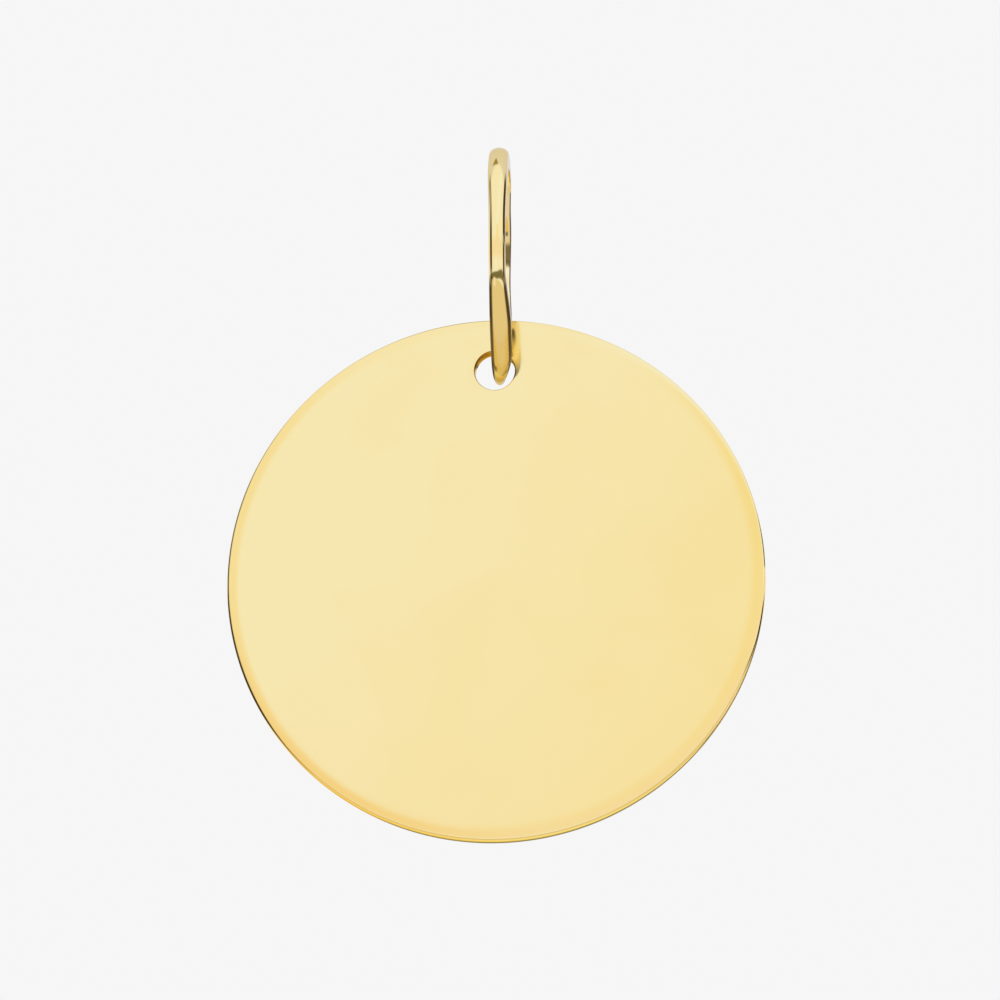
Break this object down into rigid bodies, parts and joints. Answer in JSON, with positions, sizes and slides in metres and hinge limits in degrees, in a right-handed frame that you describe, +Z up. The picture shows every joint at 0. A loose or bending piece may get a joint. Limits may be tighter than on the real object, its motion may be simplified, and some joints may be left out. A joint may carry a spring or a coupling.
{
  "type": "disc pendant",
  "caption": "Plain polished gold disc pendant hanging from a closed jump ring that passes through a small hole near the disc's top edge.",
  "frame": {"origin": "inside top of the jump ring, where a chain bears on it", "axes": "+Z up along the hanging line, +Y out of the disc's back face, +X across the disc; the front faces -Y"},
  "size_m": [0.02, 0.0088, 0.0266],
  "materials": {
    "disc_gold": "solid 14-carat yellow gold, mirror polished with faint fine wipe marks",
    "ring_gold": "solid 14-carat yellow gold wire, bright polished"
  },
  "bodies": {
    "ring": {"jump_ring": "ring_gold"},
    "pendant": {"disc": "disc_gold"}
  },
  "joints": [
    {"name": "disc_swing", "type": "hinge", "parent": "ring", "child": "pendant", "pos_m": [-0.0002, 0, -0.0077], "axis": [0, 1, 0], "range_deg": [-95, 95]}
  ]
}
